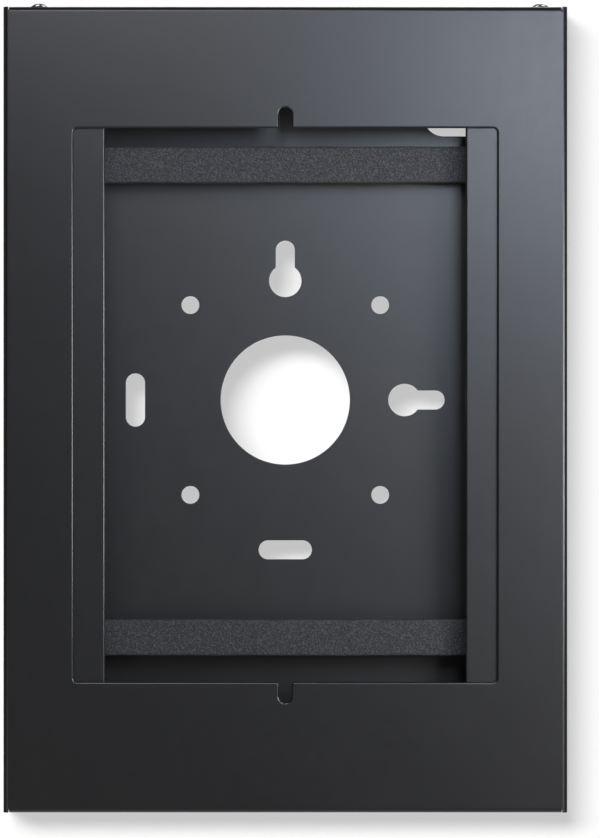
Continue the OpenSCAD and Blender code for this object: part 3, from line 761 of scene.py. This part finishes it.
def stage_sheet(name, corners, faces):
    """A sheet with a one-sided white paint, whose outer side lets the camera through."""
    paint = Finish(name + "_paint", (STAGE_WHITE,) * 3, roughness=0.9, specular=0.0)
    paint.shader.inputs["Emission Color"].default_value = (1, 1, 1, 1)
    paint.shader.inputs["Emission Strength"].default_value = STAGE_GLOW
    seen = paint.nodes.new("ShaderNodeMath")
    seen.operation, seen.use_clamp = "SUBTRACT", True
    paint.links.new(paint.nodes.new("ShaderNodeLightPath").outputs["Is Camera Ray"], seen.inputs[0])
    paint.links.new(paint.nodes.new("ShaderNodeNewGeometry").outputs["Backfacing"], seen.inputs[1])
    choice = paint.nodes.new("ShaderNodeMixShader")
    paint.links.new(seen.outputs[0], choice.inputs[0])
    paint.links.new(paint.nodes.new("ShaderNodeBsdfTransparent").outputs[0], choice.inputs[1])
    paint.links.new(paint.shader.outputs[0], choice.inputs[2])
    paint.links.new(choice.outputs[0], paint.nodes["Material Output"].inputs["Surface"])
    mesh = bpy.data.meshes.new(name)
    mesh.from_pydata(corners, [], faces)
    mesh.materials.append(paint.material)
    sheet = bpy.data.objects.new(name, mesh)
    scene.collection.objects.link(sheet)
    return sheet


wall = stage_sheet("wall", upright(WALL_Y, STAGE_HALF, STAGE_HALF) + upright(WALL_Y, NICHE_HALF_W, NICHE_HALF_H),
                   [(0, 1, 5, 4), (1, 2, 6, 5), (2, 3, 7, 6), (3, 0, 4, 7)])
niche = stage_sheet("niche", upright(NICHE_Y, NICHE_HALF_W + NICHE_LAP, NICHE_HALF_H + NICHE_LAP), [(0, 1, 2, 3)])
floor = stage_sheet("floor", [(-STAGE_HALF, -STAGE_HALF, FLOOR_Z), (STAGE_HALF, -STAGE_HALF, FLOOR_Z),
                              (STAGE_HALF, STAGE_HALF, FLOOR_Z), (-STAGE_HALF, STAGE_HALF, FLOOR_Z)], [(0, 1, 2, 3)])


# Lamps. Five soft boxes close in front of the mount, the strongest on the right and above, give the
# coat its sheen from the upper right. One behind lights the back, and two broad suns, which light
# the wall and the floor alone, draw the mount's shadow down to the right.
FRONT_GLOW, SIDE_GLOW, DOWN_GLOW, WHITE_FROM = 0.045, 0.15, 0.35, 0.9

SCREW_GLINT, SUN_LIGHT = 14.0, 1.85

world = bpy.data.worlds.new("studio")
scene.world = world
world.use_nodes = True
world_nodes, world_links = world.node_tree.nodes, world.node_tree.links


def world_math(operation, first, second):
    """A sum, product or comparison of two of the world's values, kept within 0 and 1."""
    node = world_nodes.new("ShaderNodeMath")
    node.operation, node.use_clamp = operation, True
    for socket, value in zip(node.inputs, (first, second)):
        if isinstance(value, float):
            socket.default_value = value
        else:
            world_links.new(value, socket)
    return node.outputs[0]


# The camera sees white all round. The mount sees a dim room in front, lighter to the sides and below, so
# that its front stays as dark as its coat, and a white wall behind in its mirror-like parts.
ray = world_nodes.new("ShaderNodeLightPath").outputs
heading = world_nodes.new("ShaderNodeSeparateXYZ")
world_links.new(world_nodes.new("ShaderNodeTexCoord").outputs["Generated"], heading.inputs[0])
to_wall = world_math("GREATER_THAN", heading.outputs["Y"], WHITE_FROM)
mirrored = world_math("ADD", ray["Is Glossy Ray"], ray["Is Transmission Ray"])
white = world_math("ADD", ray["Is Camera Ray"], world_math("MULTIPLY", mirrored, to_wall))
sideways = world_math("ADD", heading.outputs["Y"], 1.0)
downwards = world_math("MULTIPLY", heading.outputs["Z"], -1.0)
room = world_math("ADD", world_math("MULTIPLY", world_math("MULTIPLY", sideways, sideways), SIDE_GLOW),
                  world_math("MULTIPLY", world_math("MULTIPLY", downwards, downwards), DOWN_GLOW))
room = world_math("ADD", room, FRONT_GLOW)
world_links.new(world_math("MAXIMUM", white, room), world_nodes["Background"].inputs["Strength"])
world_nodes["Background"].inputs["Color"].default_value = (1, 1, 1, 1)


def aimed(name, data, place, towards):
    """Hangs a lamp at a place and turns it towards a point."""
    lamp = bpy.data.objects.new(name, data)
    lamp.location = place
    lamp.rotation_euler = (Vector(towards) - Vector(place)).to_track_quat("-Z", "Y").to_euler()
    lamp.visible_camera = False
    scene.collection.objects.link(lamp)
    return lamp


def soft_box(name, place, side, radiance):
    """A square lamp of the given side, turned to the origin. radiance is that of its face, as a colour."""
    data = bpy.data.lights.new(name, "AREA")
    data.shape, data.size = "SQUARE", side
    data.energy = max(radiance) * math.pi * side ** 2
    data.color = [share / max(radiance) for share in radiance]
    return aimed(name, data, place, (0, 0, 0))


boxes = [soft_box("right_box", (0.318, -0.318, 0.0), 0.18, (10.8, 10.9, 11.5)),
         soft_box("upper_box", (0.143, -0.398, 0.160), 0.13, (10.1, 11.3, 13.3)),
         soft_box("top_left_box", (-0.080, -0.340, 0.285), 0.18, (4.3, 4.35, 4.6)),
         soft_box("low_left_box", (-0.446, -0.571, -0.338), 0.32, (1.4, 1.35, 1.32)),
         soft_box("low_right_box", (0.446, -0.571, -0.338), 0.32, (1.9, 1.8, 1.87)),
         soft_box("rear_box", (0.5, 1.1, 0.8), 0.9, (3.4, 3.4, 3.4))]
for side in (-1, 1):
    data = bpy.data.lights.new("screw_box", "AREA")
    data.shape, data.size, data.size_y = "RECTANGLE", 0.5, 0.5
    data.energy = SCREW_GLINT * math.pi * data.size * data.size_y
    glint = aimed("screw_box", data, (side * 0.44, 0.6, 1.65), (side * 0.44, 0.6, 0))
    glint.light_linking.receiver_collection = screws
sun_places = (("wall_sun_near", (0.20, 1.0, -0.40), 18, (wall, niche)), ("wall_sun_far", (0.52, 1.0, -0.40), 18, (wall, niche)),
              ("floor_sun", (0.2, 0.3, -1.0), 24, (floor,)))
for name, towards, softness, sheets in sun_places:
    data = bpy.data.lights.new(name, "SUN")
    data.energy, data.angle = SUN_LIGHT * (1 if len(sheets) == 2 else 2), math.radians(softness)
    lit = bpy.data.collections.new("lit_by_" + name)
    for surface in sheets:
        lit.objects.link(surface)
    aimed(name, data, (0, 0, 0), towards).light_linking.receiver_collection = lit
not_stage = bpy.data.collections.new("lit_by_the_boxes")
for surface in (wall, niche, floor):
    not_stage.objects.link(surface)
for member in not_stage.collection_objects:
    member.light_linking.link_state = "EXCLUDE"
for box in boxes:
    box.light_linking.receiver_collection = not_stage
rear_lit = bpy.data.collections.new("lit_from_behind")
rear_lit.objects.link(wall_plate)
soft_box("rear_low_box", (0, 1.2, -0.4), 1.0, (1.6, 1.6, 1.65)).light_linking.receiver_collection = rear_lit


# Camera. The photograph looks square on at the cover from 1.8 m, and its frame is moved so that
# the cover sits left of the middle and above it.
camera_data = bpy.data.cameras.new("camera")
camera_data.sensor_width = 36
camera_data.lens = 195.5
camera_data.shift_x, camera_data.shift_y = 0.0175, -0.0112
camera = bpy.data.objects.new("camera", camera_data)
camera.location = (0, -1.8, COVER_MID_Z * MM)
camera.rotation_euler = (math.pi / 2, 0, 0)
scene.collection.objects.link(camera)
scene.camera = camera
